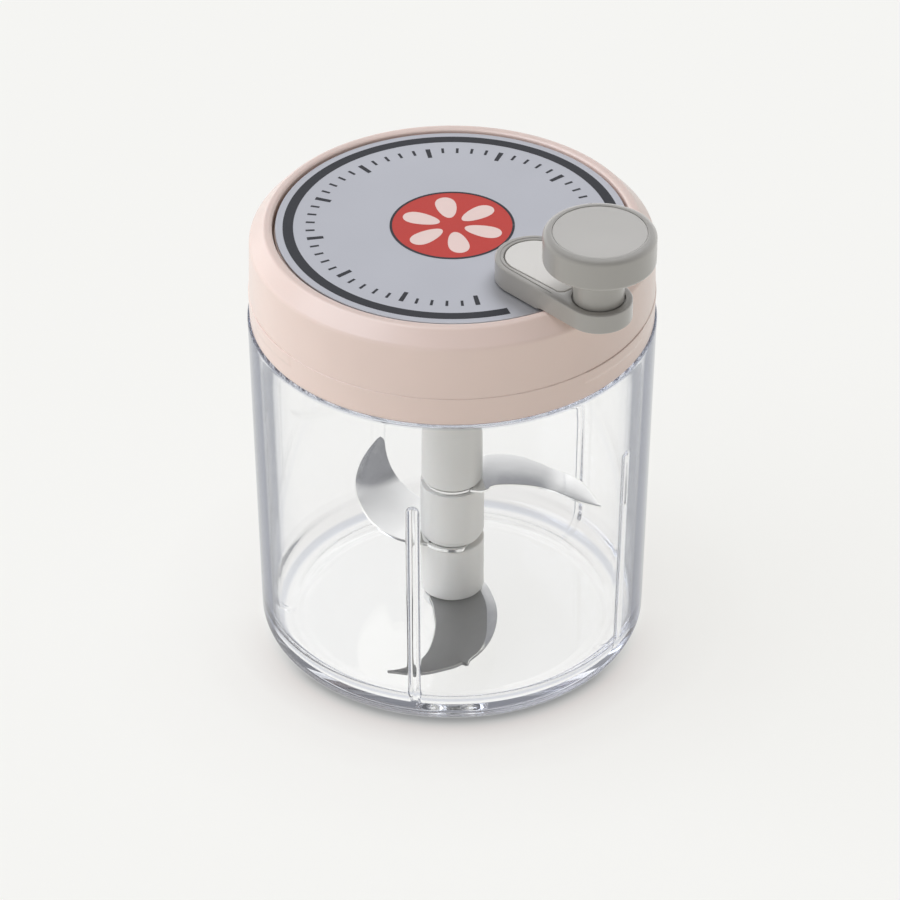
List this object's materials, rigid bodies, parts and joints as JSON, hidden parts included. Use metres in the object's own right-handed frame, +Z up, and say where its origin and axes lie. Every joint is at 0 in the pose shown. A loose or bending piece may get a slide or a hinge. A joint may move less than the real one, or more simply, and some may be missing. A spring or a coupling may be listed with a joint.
{
  "type": "crank food chopper",
  "caption": "Hand-cranked food chopper: a clear round bowl, a geared push-in lid with a folding crank and knob, and a lift-out column with curved blades.",
  "frame": {"origin": "centre of the bowl's flat base", "axes": "+Z up along the blade column, -Y towards the front, +X to the right"},
  "size_m": [0.1006, 0.1047, 0.1412],
  "materials": {
    "clear_plastic": "clear polished",
    "pink_plastic": "satin moulded",
    "grey_plastic": "satin moulded",
    "housing_plastic": "satin moulded",
    "hub_plastic": "satin moulded",
    "blade_steel": "polished sheet",
    "pin_steel": "turned",
    "disc_metal": "fine satin",
    "silicone": "soft matt",
    "gear_plastic": "moulded acetal"
  },
  "bodies": {
    "bowl": {"bowl": "clear_plastic", "floor_pin": "pin_steel"},
    "pivot_bush": {"pivot_bush": "gear_plastic"},
    "blade_set": {"core_post": "pin_steel", "hub_nut": "hub_plastic", "blade_lower": "blade_steel", "spacer_lower": "hub_plastic", "blade_middle": "blade_steel", "spacer_ring": "hub_plastic", "spacer_middle": "hub_plastic", "blade_upper": "blade_steel", "drive_tube": "hub_plastic"},
    "lid": {"lid_cap": "pink_plastic", "lid_ring": "pink_plastic", "seal_ring": "silicone", "gear_tray": "housing_plastic", "tray_screw_1": "pin_steel", "tray_screw_2": "pin_steel", "tray_screw_3": "pin_steel", "drive_bush": "gear_plastic", "ring_gear": "gear_plastic"},
    "drive_shaft": {"drive_shaft": "hub_plastic", "sun_gear": "gear_plastic"},
    "turntable": {"turntable": "pink_plastic", "disc_plate": "disc_metal", "planet_pin_1": "pin_steel", "planet_pin_2": "pin_steel", "planet_pin_3": "pin_steel", "arm_pivot_pin": "pin_steel", "pivot_clip": "pin_steel"},
    "planet_1": {"planet_gear_1": "gear_plastic"},
    "planet_2": {"planet_gear_2": "gear_plastic"},
    "planet_3": {"planet_gear_3": "gear_plastic"},
    "crank_arm": {"crank_arm": "grey_plastic", "arm_insert": "grey_plastic", "knob_post": "pin_steel", "knob_screw": "pin_steel"},
    "knob": {"knob": "grey_plastic", "knob_cap": "grey_plastic"}
  },
  "joints": [
    {"name": "blade_lift", "type": "slide", "parent": "bowl", "child": "pivot_bush", "axis": [0, 0, 1], "range_m": [0, 0.105]},
    {"name": "blade_spin", "type": "hinge", "parent": "pivot_bush", "child": "blade_set", "pos_m": [0, 0, 0.02], "axis": [0, 0, 1], "continuous": true},
    {"name": "lid_lift", "type": "slide", "parent": "pivot_bush", "child": "lid", "axis": [0, 0, 1], "range_m": [0, 0.06]},
    {"name": "crank_spin", "type": "hinge", "parent": "lid", "child": "turntable", "pos_m": [0, 0, 0.112], "axis": [0, 0, 1], "continuous": true},
    {"name": "drive_shaft_spin", "type": "hinge", "parent": "lid", "child": "drive_shaft", "pos_m": [0, 0, 0.095], "axis": [0, 0, 1], "continuous": true},
    {"name": "planet_1_spin", "type": "hinge", "parent": "turntable", "child": "planet_1", "pos_m": [0.02305, 0.00402, 0.103], "axis": [0, 0, 1], "continuous": true},
    {"name": "planet_2_spin", "type": "hinge", "parent": "turntable", "child": "planet_2", "pos_m": [-0.01501, 0.01795, 0.103], "axis": [0, 0, 1], "continuous": true},
    {"name": "planet_3_spin", "type": "hinge", "parent": "turntable", "child": "planet_3", "pos_m": [-0.00804, -0.02198, 0.103], "axis": [0, 0, 1], "continuous": true},
    {"name": "arm_fold", "type": "hinge", "parent": "turntable", "child": "crank_arm", "pos_m": [0.01956, -0.0234, 0.12], "axis": [0, 0, 1], "range_deg": [-180, 0]},
    {"name": "knob_spin", "type": "hinge", "parent": "crank_arm", "child": "knob", "pos_m": [0.03429, -0.04101, 0.132], "axis": [0, 0, 1], "continuous": true}
  ],
  "couplings": [
    {"joint": "drive_shaft_spin", "follows": "crank_spin", "ratio": 4},
    {"joint": "blade_spin", "follows": "crank_spin", "ratio": 4},
    {"joint": "planet_1_spin", "follows": "crank_spin", "ratio": -3},
    {"joint": "planet_2_spin", "follows": "crank_spin", "ratio": -3},
    {"joint": "planet_3_spin", "follows": "crank_spin", "ratio": -3}
  ]
}
